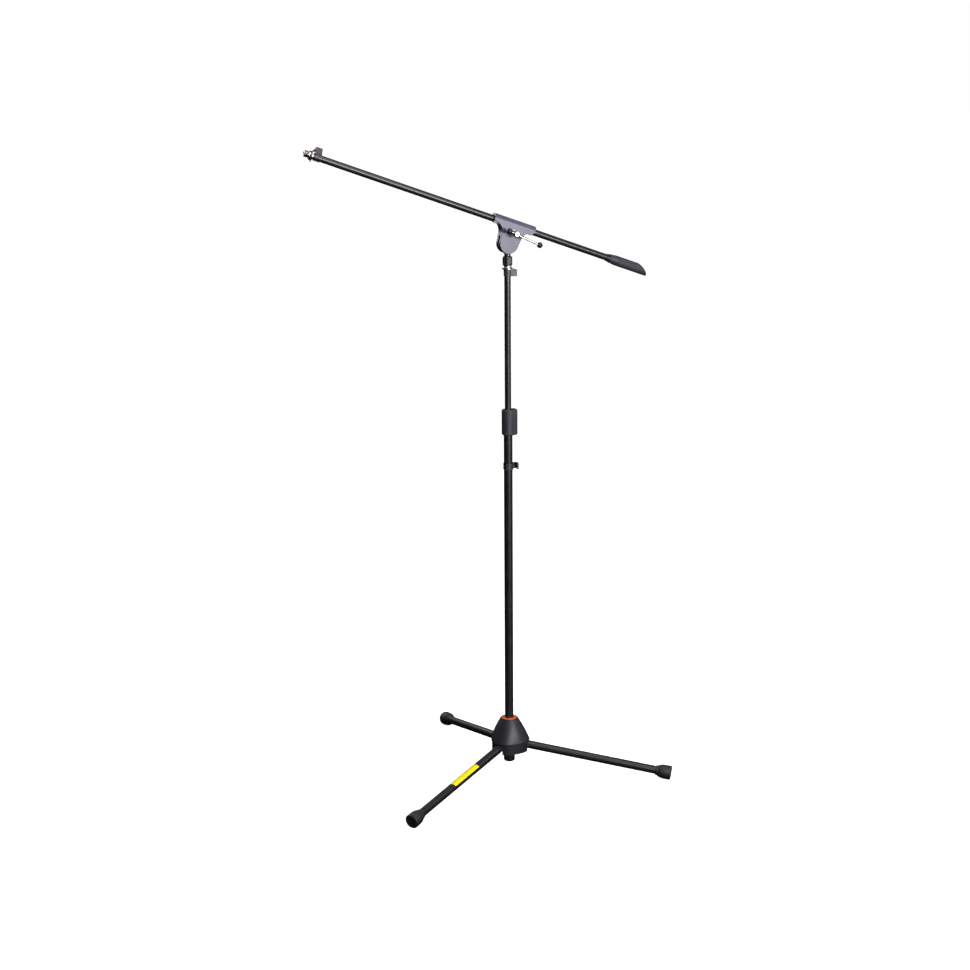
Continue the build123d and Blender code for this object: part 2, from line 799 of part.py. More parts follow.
def t_bar_rod():
    return bar_place * rod(bar_radius, -bar_short_end, bar_long_end)


def bar_ball(centre, inward):
    """A moulded ball on the bar, with a flat where the bar enters."""
    size = 2 * bar_ball_radius
    beyond = Pos(0, 0, centre + inward * (bar_ball_flat + size / 2)) * Box(size, size, size)
    body = Pos(0, 0, centre) * Sphere(bar_ball_radius) - beyond
    return bar_place * (body - rod(bar_radius, -bar_short_end, bar_long_end))


def t_bar_ball_short():
    return bar_ball(-bar_short_end, 1)


def t_bar_ball_long():
    return bar_ball(bar_long_end, -1)


# ---------------------------------------------------------------- boom
def boom_liner():
    """A split nylon sleeve between the shells and the boom."""
    body = ring(liner_radius, boom_radius + running_gap, -liner_length / 2, liner_length / 2)
    slit = Box(2 * liner_radius, liner_slit, liner_length, align=(Align.MIN, Align.CENTER, Align.CENTER))
    return boom_place * (body - slit)


def boom_tube():
    return boom_place * ring(boom_radius, boom_bore, -boom_front, boom_rear)


def boom_adapter():
    return boom_place * Pos(0, 0, -boom_front) * Rot(180, 0, 0) * thread_adapter(boom_bore)


def boom_collar():
    return boom_place * ring(grip_collar_radius, boom_radius, grip_start - grip_collar_length, grip_start)


def boom_grip():
    """A fluted rubber grip, closed at the rear and cut off at a slant."""
    body = turned((0, grip_start), (grip_mouth_radius, grip_start),
                  (grip_radius, grip_start + grip_taper), (grip_radius, grip_end), (0, grip_end))
    body = fillet(body.edges().filter_by(GeomType.CIRCLE).group_by(Axis.Z)[-1], grip_end_rounding)
    for cut in flutes(grip_flutes, grip_radius, grip_flute_radius, grip_flute_depth,
                      grip_flute_start, grip_end):
        body -= cut
    body -= rod(boom_radius, grip_start, boom_rear)
    long = 4 * grip_radius
    wedge = Box(long, long, long, align=(Align.CENTER, Align.CENTER, Align.MIN))
    body -= Pos(grip_radius, 0, grip_end) * Rot(0, -grip_slant, 0) * wedge
    return boom_place * body


def boom_plug():
    return boom_place * rod(boom_bore, boom_rear - plug_length, boom_rear)


# ---------------------------------------------------------------- writing out
parts = {
    "bell_housing": bell_housing(),
    "column_ring": column_ring(),
    "leg_carrier": leg_carrier(),
    "leg_hinge_pins": leg_hinge_pins(),
    "carrier_screws": carrier_screws(),
    "lock_plate": lock_plate(),
    "lock_stud": lock_stud(),
    "lock_knob": lock_knob(),
    "knob_insert": knob_insert(),
    "leg_label": leg_label(),
    "lower_tube": lower_tube(),
    "lower_cable_clip": lower_cable_clip(),
    "clutch_body": clutch_body(),
    "clutch_cap": clutch_cap(),
    "clutch_collet": clutch_collet(),
    "clutch_lever": clutch_lever(),
    "lever_pin": lever_pin(),
    "lever_spring": lever_spring(),
    "guide_bush": guide_bush(),
    "upper_tube": upper_tube(),
    "upper_tube_plug": upper_tube_plug(),
    "stop_ring": stop_ring(),
    "column_adapter": column_adapter(),
    "upper_cable_clip": upper_cable_clip(),
    "union_nut": union_nut(),
    "swivel_neck": swivel_neck(),
    "friction_washers": friction_washers(),
    "swivel_shell_front": swivel_shell(-1),
    "swivel_shell_rear": swivel_shell(1),
    "pivot_pin": pivot_pin(),
    "clamp_nut": clamp_nut(),
    "clamp_washer": clamp_washer(),
    "clamp_spindle": clamp_spindle(),
    "t_bar_rod": t_bar_rod(),
    "t_bar_ball_short": t_bar_ball_short(),
    "t_bar_ball_long": t_bar_ball_long(),
    "boom_liner": boom_liner(),
    "boom_tube": boom_tube(),
    "boom_adapter": boom_adapter(),
    "boom_cable_clip": boom_cable_clip(),
    "boom_collar": boom_collar(),
    "boom_grip": boom_grip(),
    "boom_plug": boom_plug(),
}
for number, heading in enumerate(leg_headings, start=1):
    parts[f"leg_tube_{number}"] = leg_tube(heading)
    parts[f"leg_heel_{number}"] = leg_heel(heading)
    parts[f"heel_rivet_{number}"] = heel_rivet(heading)
    parts[f"rubber_foot_{number}"] = rubber_foot(heading)

os.makedirs("parts", exist_ok=True)
for name, shape in parts.items():
    export_step(shape, f"parts/{name}.step")
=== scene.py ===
# %% [markdown]
# # A boom microphone stand
# The stand has a folding tripod, a two-tube column with a lever clutch, a swivel head with a T-bar
# clamp, and a boom with a threaded end and a slanted rubber grip. The frame brings the machined
# shapes with real sizes and real joints. Here each visible piece gets its moulded, turned or cast
# shape and its finish. The frame is loaded first, because every other step measures it.

# %% Load the frame
import json
import math
import bmesh
import bpy
import numpy as np
from mathutils import Matrix

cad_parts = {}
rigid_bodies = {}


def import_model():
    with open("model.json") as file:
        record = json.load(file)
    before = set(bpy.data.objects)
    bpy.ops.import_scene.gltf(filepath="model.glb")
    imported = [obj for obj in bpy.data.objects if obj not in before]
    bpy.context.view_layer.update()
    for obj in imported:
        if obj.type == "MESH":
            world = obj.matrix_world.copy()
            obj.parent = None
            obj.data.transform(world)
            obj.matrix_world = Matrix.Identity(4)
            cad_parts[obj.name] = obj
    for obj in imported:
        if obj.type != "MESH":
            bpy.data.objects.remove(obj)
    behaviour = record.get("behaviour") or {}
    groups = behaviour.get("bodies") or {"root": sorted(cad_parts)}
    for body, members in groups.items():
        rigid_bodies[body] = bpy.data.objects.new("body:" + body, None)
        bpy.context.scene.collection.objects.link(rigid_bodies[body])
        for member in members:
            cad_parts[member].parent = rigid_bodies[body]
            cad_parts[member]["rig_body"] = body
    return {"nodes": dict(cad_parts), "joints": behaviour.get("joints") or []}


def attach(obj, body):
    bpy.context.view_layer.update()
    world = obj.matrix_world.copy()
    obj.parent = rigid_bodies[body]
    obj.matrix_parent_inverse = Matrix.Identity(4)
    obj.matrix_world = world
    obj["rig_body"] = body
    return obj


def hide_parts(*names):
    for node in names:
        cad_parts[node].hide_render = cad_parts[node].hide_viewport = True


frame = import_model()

nodes = frame["nodes"]
joints = {joint["name"]: joint for joint in frame["joints"]}
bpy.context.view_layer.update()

# %% [markdown]
# Most pieces of a stand are round: turned on a lathe, or moulded in a round tool. Such a piece needs
# an axis, so the first helpers find axes. A joint of the frame gives the direction, and the middle of a
# node's mesh gives the line. A place is kept as four vectors: where it is, two directions square to the
# axis, and the axis itself. A node is measured against a place to learn where it starts and ends.

# %% Places and measures
def unit(vector):
    """The vector divided by its own length."""
    return np.asarray(vector, float) / np.linalg.norm(vector)


def place(origin, along, side=(0.0, 0.0, 1.0)):
    """Origin, side, cross and along: side loses its share on the axis, cross is along times side."""
    along = unit(along)
    side = np.asarray(side, float)
    side = unit(side - along * (side @ along))
    return np.array([origin, side, np.cross(along, side), along])


def points(node):
    """The corners of a node's mesh, one row of x, y, z each."""
    flat = np.empty(len(nodes[node].data.vertices) * 3, np.float32)
    nodes[node].data.vertices.foreach_get("co", flat)
    return flat.reshape(-1, 3).astype(float)


def reach(where, node):
    """The lowest and the highest place of a node along an axis, by the dot product."""
    heights = (points(node) - where[0]) @ where[3]
    return heights.min(), heights.max()


def girth(where, node):
    """The furthest a node gets from an axis."""
    offset = points(node) - where[0]
    return np.linalg.norm(offset - np.outer(offset @ where[3], where[3]), axis=1).max()


def centred(node, along, side=(0.0, 0.0, 1.0)):
    """A place on the middle line of a round node: half way between its ends in all three directions."""
    where = place((0.0, 0.0, 0.0), along, side)
    spread = points(node) @ where[1:].T
    where[0] = (spread.min(axis=0) + spread.max(axis=0)) / 2 @ where[1:]
    return where


up = (0.0, 0.0, 1.0)
column = place((0.0, 0.0, 0.0), up, (1.0, 0.0, 0.0))
boom = centred("boom_tube", joints["boom_slide"]["axis"])
mm = 0.001
print("the boom runs along", boom[3].round(4))

# %% [markdown]
# A leg's axis starts on its hinge pin and follows its tube. The tube is far longer than wide, so the
# direction in which its corners spread most is the leg's direction. The singular value decomposition
# of the corners gives that direction without any guess.

# %% The axes of the legs
def leg_axis(number):
    """The hinge's position, and the first singular vector of the tube's corners, pointing outwards."""
    corners = points(f"leg_tube_{number}")
    middle = corners.mean(axis=0)
    along = np.linalg.svd(corners - middle, full_matrices=False)[2][0]
    along = along * np.sign(along[:2] @ middle[:2])
    return place(joints[f"leg_{number}_fold"]["pos_m"], along)


legs = {number: leg_axis(number) for number in (1, 2, 3)}
print("the legs slope by", [round(math.degrees(-math.asin(leg[3][2])), 2) for leg in legs.values()])

# %% [markdown]
# A real moulding or turning has no sharp corners, so an outline is first drawn with straight runs and
# then softened. Each corner gives way to a short curve. Fillets from a modifier would also do, but
# here the outline stays a plain array, which later steps can bend, flute or thread.

# %% Outlines
def softened(corners, rounding, steps=4):
    """An outline whose inner corners are curves: at t the point is (1-t)(1-t) a + 2t(1-t) corner + t t b,
    where a and b lie on the two runs at the rounding's distance from the corner."""
    corners = np.asarray(corners, float)
    corner = corners[1:-1]
    size = np.broadcast_to(np.asarray(rounding, float).reshape(-1, 1), (len(corner), 1))

    def towards(other):
        way = other - corner
        length = np.linalg.norm(way, axis=1, keepdims=True)
        return corner + way * np.minimum(size / length, 0.45)

    a, b = towards(corners[:-2]), towards(corners[2:])
    t = np.linspace(0.0, 1.0, steps + 1)[None, :, None]
    curves = (1 - t) ** 2 * a[:, None] + 2 * t * (1 - t) * corner[:, None] + t ** 2 * b[:, None]
    return np.vstack([corners[:1], curves.reshape(-1, 2), corners[-1:]])


def divided(outline, spacing):
    """The same outline with extra points, so that no two are further apart than the spacing."""
    length = np.r_[0.0, np.cumsum(np.linalg.norm(np.diff(outline, axis=0), axis=1))]
    every = np.union1d(length, np.arange(0.0, length[-1], spacing))
    return np.column_stack([np.interp(every, length, outline[:, 0]), np.interp(every, length, outline[:, 1])])


# %% [markdown]
# A surface is a grid of points: rows along the outline and columns round the axis. The mesh follows
# from the grid's numbering alone. Ends are closed with a pole in the middle of the end row. The sign of
# the enclosed volume tells whether the faces look outwards, so a grid can be written in either order.

# %% From a grid to a mesh
def volume(points, faces):
    """The enclosed volume: a sixth of the sum of a . (b x c) over the triangles of each face."""
    a, b, c = points[faces[:, 0]], points[faces[:, 1]], points[faces[:, 2]]
    total = np.einsum("ij,ij->i", a, np.cross(b, c)).sum()
    if faces.shape[1] == 4:
        d = points[faces[:, 3]]
        total += np.einsum("ij,ij->i", a, np.cross(c, d)).sum()
    return total / 6


sharp_angle = math.radians(38)


def mesh_piece(name, grid, poles=True, along=None):
    """A closed piece from a grid whose columns join round. Poles close the end rows; without them the
    last row joins the first. `along` is kept on the points, for finishes that follow the axis."""
    rows, columns = grid.shape[:2]
    index = np.arange(rows * columns).reshape(rows, columns)
    beside = np.roll(index, -1, axis=1)
    if poles:
        low, high, low_beside, high_beside = index[:-1], index[1:], beside[:-1], beside[1:]
    else:
        low, low_beside = index, beside
        high, high_beside = np.roll(index, -1, axis=0), np.roll(beside, -1, axis=0)
    quads = np.stack([low, low_beside, high_beside, high], axis=-1).reshape(-1, 4)
    corners = grid.reshape(-1, 3)
    faces = [quads]
    if poles:
        first, last = rows * columns, rows * columns + 1
        corners = np.vstack([corners, grid[0].mean(axis=0), grid[-1].mean(axis=0)])
        faces.append(np.stack([beside[0], index[0], np.full(columns, first)], axis=-1))
        faces.append(np.stack([index[-1], beside[-1], np.full(columns, last)], axis=-1))
    centred = corners - corners.mean(axis=0)
    if sum(volume(centred, part) for part in faces) < 0:
        faces = [part[:, ::-1] for part in faces]
    mesh = bpy.data.meshes.new(name)
    mesh.from_pydata(corners.tolist(), [], [face for part in faces for face in part.tolist()])
    if along is not None:
        values = np.r_[along.ravel(), along[0].mean(), along[-1].mean()][:len(corners)]
        mesh.attributes.new("along", "FLOAT", "POINT").data.foreach_set("value", values.astype(np.float32))
    mesh.shade_smooth()
    mesh.set_sharp_from_angle(angle=sharp_angle)
    piece = bpy.data.objects.new(name, mesh)
    bpy.context.scene.collection.objects.link(piece)
    return piece


# %% [markdown]
# A turned piece is its outline carried round the axis. A second function may change the radius and the
# height at each turn: that is how flutes, threads and flats come in, as one formula over the whole grid.

# %% Turned pieces
def turned(name, where, outline, columns=64, change=None, poles=True):
    """Each point is origin + radius (cos turn side + sin turn cross) + height along."""
    outline = outline[outline[:, 0] > 1e-7]
    turn = np.arange(columns) * 2 * math.pi / columns
    radius = outline[:, :1] + 0 * turn
    height = outline[:, 1:] + 0 * turn
    if change is not None:
        radius, height = change(radius, height, turn)
    origin, side, cross, along = where
    grid = (origin + (radius * np.cos(turn))[..., None] * side
            + (radius * np.sin(turn))[..., None] * cross + height[..., None] * along)
    return mesh_piece(name, grid, poles, along=height)


def flute(turn, count, radius, half_width, depth):
    """How deep a row of flutes cuts: depth times 1 - (y / half width)^2, where y is the distance round
    the piece from the nearest flute."""
    y = ((turn * count / (2 * math.pi) + 0.5) % 1.0 - 0.5) * 2 * math.pi / count * radius
    return depth * np.clip(1 - (y / half_width) ** 2, 0.0, 1.0)


def ramp(value, low, high):
    """0 below low, 1 above high, and 3tt - 2ttt between them."""
    t = np.clip((value - low) / (high - low), 0.0, 1.0)
    return t * t * (3 - 2 * t)


def put(piece, body, slot, *replaced):
    """A finished piece rides on its body, takes its slot's finish, and stands for its nodes."""
    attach(piece, body)
    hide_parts(*replaced)
    piece["finish"] = slot
    print(f"{piece.name}: {len(piece.data.polygons)} faces on {body}")
    return piece


made = []

# %% [markdown]
# The feet are rubber boots pushed over the leg tubes. Each has a rolled bead at its mouth, a flare, and
# a thick rim, and it is worn flat where it stands. The outline is turned about the leg's axis. Every
# point that would sink below the floor is lifted onto it, which gives the flat sole.

# %% Rubber feet
foot_bore = 10.55 * mm
foot_mouth = 12.2 * mm
foot_rim = girth(legs[1], "rubber_foot_1")
foot_floor = 8.0 * mm


def foot(number):
    where = legs[number]
    start, end = reach(where, f"rubber_foot_{number}")
    outline = softened([
        (0, end - foot_floor), (foot_bore, end - foot_floor), (foot_bore, start), (foot_mouth, start),
        (foot_mouth + 0.9 * mm, start + 1.2 * mm), (foot_mouth + 0.9 * mm, start + 3.6 * mm),
        (foot_mouth + 0.7 * mm, start + 4.4 * mm), (foot_rim - 1.5 * mm, start + 11.5 * mm),
        (foot_rim, start + 22.0 * mm), (foot_rim, end), (foot_rim - 5 * mm, end),
        (foot_rim - 6 * mm, end - 1.0 * mm), (0, end - 1.0 * mm)],
        np.array([0.3, 0.3, 0.5, 0.8, 0.7, 0.5, 4.0, 5.0, 2.6, 0.6, 0.6]) * mm, steps=6)
    piece = turned(f"foot_{number}", where, divided(outline, 2.5 * mm), columns=72)
    corners = np.empty(len(piece.data.vertices) * 3, np.float32)
    piece.data.vertices.foreach_get("co", corners)
    corners = corners.reshape(-1, 3)
    corners[:, 2] = np.maximum(corners[:, 2], 0.0)
    piece.data.vertices.foreach_set("co", corners.ravel())
    return put(piece, f"leg_{number}", "foot_rubber", f"rubber_foot_{number}")


made += [foot(number) for number in legs]

# %% [markdown]
# The grip at the rear of the boom is a rubber moulding with fine flutes and an end cut at a slant. The
# side rows run from the mouth to the slant, which each column meets at its own height. Then the rows
# turn over a small edge and close over the slanted face.

# %% Boom grip
grip_flutes = 18
grip_slant_drop = 31.0 * mm
grip_edge = 1.6 * mm
grip_bend = 1.3
grip_flute_half_width = 1.1 * mm
grip_flute_depth = 0.6 * mm


def grip_piece():
    start, end = reach(boom, "boom_grip")
    widest = girth(boom, "boom_grip")
    mouth = widest - 1.9 * mm
    bore = girth(boom, "boom_tube")
    turn = np.arange(grip_flutes * 10) * 2 * math.pi / (grip_flutes * 10)

    def slanted(x):
        """The end's height at x above the axis: the drop grows as a superellipse from the low tip."""
        q = np.clip((widest + x) / (2 * widest), 0.0, 1.0)
        return end - grip_slant_drop * (1 - (1 - q ** grip_bend) ** (1 / grip_bend))

    def side_radius(height):
        body = mouth + (widest - mouth) * ramp(height, start + 2 * mm, start + 19 * mm)
        bead = 0.5 * mm * np.exp(-((height - start - 3.0 * mm) / (1.4 * mm)) ** 2)
        return body + bead

    last = slanted(widest * np.cos(turn)) - grip_edge
    s = np.linspace(0.0, 1.0, 90)[:, None]
    height = start + s * (last - start)
    radius = side_radius(height)
    fluted_from = ramp(height, start + 21 * mm, start + 27 * mm)
    radius -= flute(turn, grip_flutes, widest, grip_flute_half_width, grip_flute_depth) * fluted_from
    edge = np.linspace(0.0, math.pi / 2, 6)[1:, None]
    edge_radius = radius[-1:] - grip_edge * (1 - np.cos(edge))
    edge_drop = slanted(edge_radius * np.cos(turn)) - slanted(radius[-1:] * np.cos(turn))
    edge_height = last + grip_edge * np.sin(edge) + edge_drop
    share = np.linspace(1.0, 0.06, 12)[1:, None]
    face_radius = edge_radius[-1:] * share
    face_height = slanted(face_radius * np.cos(turn))
    lip = np.array([[mouth - 1.2 * mm], [mouth - 0.3 * mm]])
    rows_radius = np.vstack([lip + 0 * turn, radius, edge_radius, face_radius])
    rows_height = np.vstack([np.array([[start], [start]]) + 0 * turn, height, edge_height, face_height])
    rows_radius[0] = bore + 0.1 * mm
    origin, side, cross, along = boom
    grid = (origin + (rows_radius * np.cos(turn))[..., None] * side
            + (rows_radius * np.sin(turn))[..., None] * cross + rows_height[..., None] * along)
    return mesh_piece("grip", grid, along=rows_height)


made.append(put(grip_piece(), "boom", "grip_rubber", "boom_grip"))

# %% [markdown]
# Both ends of the stand carry the same turned and plated adapter: a flange, a hollow flare and a
# 5/8 inch thread. A thread is a groove whose depth depends on the height less the lead times the turn,
# so one formula over the grid cuts it. It fades out at both ends, as a rolled thread does.

# %% Threaded adapters
thread_pitch = 0.94 * mm
thread_depth = 0.5 * mm
thread_radius = 7.94 * mm
shank_radius = 6.75 * mm


def adapter_piece(name, where, node, body):
    low, high = reach(where, node)
    wide = girth(where, node)
    flange = high - 20.0 * mm
    outline = softened([
        (0, low), (shank_radius, low), (shank_radius, flange), (wide, flange), (wide, flange + 2.5 * mm),
        (wide - 2.6 * mm, flange + 3.2 * mm), (9.9 * mm, flange + 5.4 * mm), (9.6 * mm, flange + 9.0 * mm),
        (thread_radius - 0.5 * mm, flange + 9.1 * mm), (thread_radius, flange + 10.0 * mm),
        (thread_radius, high - 0.8 * mm), (thread_radius - 0.8 * mm, high), (5.2 * mm, high),
        (4.6 * mm, high - 0.6 * mm), (4.6 * mm, high - 9.0 * mm), (0, high - 9.0 * mm)],
        np.array([0.4, 0.2, 0.5, 0.7, 1.2, 2.2, 0.5, 0.2, 0.2, 0.1, 0.3, 0.2, 0.3, 0.2]) * mm)
    outline = divided(outline, thread_pitch / 7)

    def thread(radius, height, turn):
        phase = (height / thread_pitch - turn / (2 * math.pi)) % 1.0
        groove = thread_depth * (1 - np.abs(2 * phase - 1))
        fade = ramp(height, flange + 9.8 * mm, flange + 11.0 * mm)
        fade = fade * (1 - ramp(height, high - 1.2 * mm, high - 0.3 * mm))
        outside = radius > 6.5 * mm
        return radius - groove * fade * outside, height

    piece = turned(name, where, outline, columns=60, change=thread)
    return put(piece, body, "nickel", node)


boom_front = place(boom[0], -boom[3])
made.append(adapter_piece("column_adapter_turned", column, "column_adapter", "column"))
made.append(adapter_piece("boom_adapter_turned", boom_front, "boom_adapter", "boom"))

# %% [markdown]
# The union nut joins the swivel to the column. It is gripped by hand, so its outside has rounded flutes
# between two plain shoulders. The flutes fade towards both ends, which leaves the shoulders round.

# %% Union nut
def nut_piece():
    low, high = reach(column, "union_nut")
    wide = girth(column, "union_nut")
    inner, neck = 8.29 * mm, 6.55 * mm
    outline = softened([
        (inner, low), (wide - 0.8 * mm, low), (wide, low + 0.8 * mm), (wide, low + 2.4 * mm),
        (wide - 0.35 * mm, low + 3.0 * mm), (wide, low + 3.6 * mm), (wide, high - 2.2 * mm),
        (wide - 2.2 * mm, high), (neck, high), (neck, high - 8.5 * mm), (inner, high - 8.5 * mm),
        (inner, low)], np.array([0.5, 0.5, 0.3, 0.3, 0.3, 1.2, 1.2, 0.3, 0.3, 0.3]) * mm)[:-1]
    outline = divided(outline, 0.9 * mm)

    def fluted(radius, height, turn):
        cut = flute(turn, 10, wide, 1.9 * mm, 0.95 * mm)
        keep = ramp(height, low + 3.4 * mm, low + 5.0 * mm)
        keep = keep * (1 - ramp(height, high - 3.0 * mm, high - 1.2 * mm))
        return radius - cut * keep * (radius > wide - 1.5 * mm), height

    piece = turned("union_nut_fluted", column, outline, columns=160, change=fluted, poles=False)
    return put(piece, "union_nut", "black_plastic", "union_nut")


made.append(nut_piece())

# %% [markdown]
# The lock knob hangs under the carrier. It is a small plastic moulding with eight finger flutes, a
# dished underside and a bore for the brass insert and the stud.

# %% Lock knob
def knob_piece():
    low, high = reach(column, "lock_knob")
    wide = girth(column, "lock_knob")
    outline = softened([
        (0, low + 3.0 * mm), (4.35 * mm, low + 3.0 * mm), (4.35 * mm, high - 8.0 * mm),
        (6.52 * mm, high - 8.0 * mm), (6.52 * mm, high), (wide - 0.6 * mm, high), (wide, high - 0.6 * mm),
        (wide, low + 3.0 * mm), (wide - 3.0 * mm, low), (wide - 4.6 * mm, low),
        (wide - 6.0 * mm, low + 1.0 * mm), (0, low + 1.0 * mm)],
        np.array([0.2, 0.2, 0.2, 0.3, 0.5, 0.5, 1.5, 1.2, 0.6, 0.6]) * mm)
    outline = divided(outline, 1.0 * mm)

    def fluted(radius, height, turn):
        cut = flute(turn, 8, wide, 2.6 * mm, 1.4 * mm)
        outside = ramp(radius, wide - 3.2 * mm, wide - 0.4 * mm)
        return radius - cut * outside * (height > low + 0.1 * mm), height

    return put(turned("lock_knob_fluted", column, outline, columns=128, change=fluted),
               "lock_knob", "black_plastic", "lock_knob")


made.append(knob_piece())

# %% [markdown]
# The T-bar ends in two moulded balls. Each is a sphere with a short collar where the bar goes in, and a
# faint parting line round its middle, left by the two halves of the mould.

# %% T-bar balls
bar = centred("t_bar_rod", joints["t_bar_slide"]["axis"])
seam_height = 0.07 * mm


def ball_piece(name, node):
    low, high = reach(bar, node)
    inward = bar if abs(low) < abs(high) else place(bar[0], -bar[3])
    low, high = reach(inward, node)
    ball = girth(bar, node)
    centre = high - ball
    opening = girth(bar, "t_bar_rod")
    angle = np.linspace(math.radians(62), 0.0, 26)
    angle = np.r_[-angle, angle[::-1][1:], np.linspace(math.radians(64), math.radians(88), 12)]
    seam = seam_height * np.exp(-(angle / 0.05) ** 2)
    smooth = ball - seam_height
    sphere = np.column_stack([(smooth + seam) * np.cos(angle), centre + smooth * np.sin(angle)])
    mouth = centre - (ball - 0.3 * mm)
    collar = softened([(0, centre), (opening, centre), (opening, mouth), (3.6 * mm, mouth), sphere[0]],
                      np.array([0.1, 0.3, 0.5]) * mm)
    outline = np.vstack([collar, sphere[1:], (0.0, high)])
    return put(turned(name, inward, outline, columns=48), "t_bar", "black_plastic", node)


made.append(ball_piece("ball_short", "t_bar_ball_short"))
made.append(ball_piece("ball_long", "t_bar_ball_long"))

# %% [markdown]
# The label is a strip of vinyl wrapped round the upper side of the third leg, and its ends are cut at a
# slant. It is an open grid of turns and heights just above the tube, and Solidify gives it a thickness
# outwards. A closed ring of paper would be as easy, but a real label doesn't reach round the underside.

# %% Leg label
label_half_wrap = math.radians(95)


def label_piece():
    where = legs[3]
    low, high = reach(where, "leg_label")
    inner = girth(where, "leg_tube_3") + 0.03 * mm
    offsets = points("leg_label") - where[0]
    middle = offsets.mean(axis=0)
    facing = math.atan2(middle @ where[2], middle @ where[1])
    across = np.linspace(-1, 1, 49)
    turn = facing + label_half_wrap * across
    slant = 5.0 * mm
    shift = slant * across
    s = np.linspace(0.0, 1.0, 40)[:, None]
    height = low + slant + s * (high - low - 2 * slant) + shift
    origin, side, cross, along = where
    grid = (origin + (inner * np.cos(turn))[None, :, None] * side
            + (inner * np.sin(turn))[None, :, None] * cross + height[..., None] * along)
    rows, columns = height.shape
    index = np.arange(rows * columns).reshape(rows, columns)
    quads = np.stack([index[:-1, :-1], index[:-1, 1:], index[1:, 1:], index[1:, :-1]], axis=-1).reshape(-1, 4)
    mesh = bpy.data.meshes.new("label")
    mesh.from_pydata(grid.reshape(-1, 3).tolist(), [], quads.tolist())
    mesh.shade_smooth()
    piece = bpy.data.objects.new("label", mesh)
    bpy.context.scene.collection.objects.link(piece)
    skin = piece.modifiers.new("thickness", "SOLIDIFY")
    skin.thickness = 0.2 * mm
    skin.offset = 1.0
    return put(piece, "leg_3", "yellow_label", "leg_label")


made.append(label_piece())

# %% [markdown]
# The castings and mouldings keep the frame's shapes, but die cast and moulded edges are round. A copy
# of the node's mesh is merged and its flat faces are joined up, then a Bevel modifier rounds every edge
# that turns sharply, and Weighted Normal keeps the flat faces flat to the light.

# %% Eased castings
def eased(node, slot, edge, name):
    """A copy of a node with its sharp edges rounded by `edge`."""
    mesh = nodes[node].data.copy()
    mesh.materials.clear()
    shape = bmesh.new()
    shape.from_mesh(mesh)
    bmesh.ops.remove_doubles(shape, verts=shape.verts, dist=2e-6)
    bmesh.ops.dissolve_limit(shape, angle_limit=math.radians(0.25), verts=shape.verts, edges=shape.edges)
    shape.to_mesh(mesh)
    shape.free()
    if "custom_normal" in mesh.attributes:
        mesh.attributes.remove(mesh.attributes["custom_normal"])
    mesh.shade_smooth()
    mesh.set_sharp_from_angle(angle=sharp_angle)
    piece = bpy.data.objects.new(name, mesh)
    bpy.context.scene.collection.objects.link(piece)
    bevel = piece.modifiers.new("eased edges", "BEVEL")
    bevel.width = edge
    bevel.segments = 3
    bevel.limit_method = "ANGLE"
    bevel.angle_limit = sharp_angle
    bevel.use_clamp_overlap = True
    normals = piece.modifiers.new("flat faces", "WEIGHTED_NORMAL")
    normals.keep_sharp = True
    body = nodes[node]["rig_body"]
    return put(piece, body, slot, node)


castings = [
    ("bell_housing", "black_casting", 0.9), ("leg_carrier", "black_casting", 0.6),
    ("swivel_shell_front", "swivel_casting", 2.2), ("swivel_shell_rear", "swivel_casting", 2.2),
    ("clutch_lever", "black_plastic", 0.5), ("lower_cable_clip", "clip_plastic", 0.35),
    ("upper_cable_clip", "clip_plastic", 0.35), ("boom_cable_clip", "clip_plastic", 0.35),
    ("clutch_body", "grip_rubber", 0.35), ("clutch_cap", "grip_rubber", 0.35),
]
made += [eased(node, slot, edge * mm, node + "_eased") for node, slot, edge in castings]

# %% [markdown]
# Now the finishes. Four effects come up again and again: a fine grain, a slow change from place to
# place, wear on the edges, and dust on what faces up. Each is a node group with named inputs, so that
# every material can use it with its own values.

# %% Node groups
def group(name, numbers, outputs):
    """An empty node group: inputs with their values, and outputs, all single numbers."""
    tree = bpy.data.node_groups.new(name, "ShaderNodeTree")
    for label, value in numbers.items():
        tree.interface.new_socket(label, in_out="INPUT", socket_type="NodeSocketFloat").default_value = value
    for label in outputs:
        tree.interface.new_socket(label, in_out="OUTPUT", socket_type="NodeSocketFloat")
    return tree, tree.nodes.new("NodeGroupInput").outputs, tree.nodes.new("NodeGroupOutput").inputs


def calculate(tree, operation, *values, clamp=False):
    """A Math node whose inputs are sockets or numbers. Returns its result."""
    node = tree.nodes.new("ShaderNodeMath")
    node.operation = operation
    node.use_clamp = clamp
    for socket, value in zip(node.inputs, values):
        if isinstance(value, (int, float)):
            socket.default_value = value
        else:
            tree.links.new(value, socket)
    return node.outputs[0]


def noise(tree, scale, detail=3.0, stretch=None):
    """A Noise texture on object coordinates, about 0.5 in the middle. Returns its value."""
    where = tree.nodes.new("ShaderNodeTexCoord").outputs["Object"]
    if stretch is not None:
        mapping = tree.nodes.new("ShaderNodeMapping")
        mapping.inputs["Scale"].default_value = stretch
        tree.links.new(where, mapping.inputs["Vector"])
        where = mapping.outputs["Vector"]
    texture = tree.nodes.new("ShaderNodeTexNoise")
    texture.inputs["Detail"].default_value = detail
    tree.links.new(where, texture.inputs["Vector"])
    if isinstance(scale, (int, float)):
        texture.inputs["Scale"].default_value = scale
    else:
        tree.links.new(scale, texture.inputs["Scale"])
    return texture.outputs["Fac"]


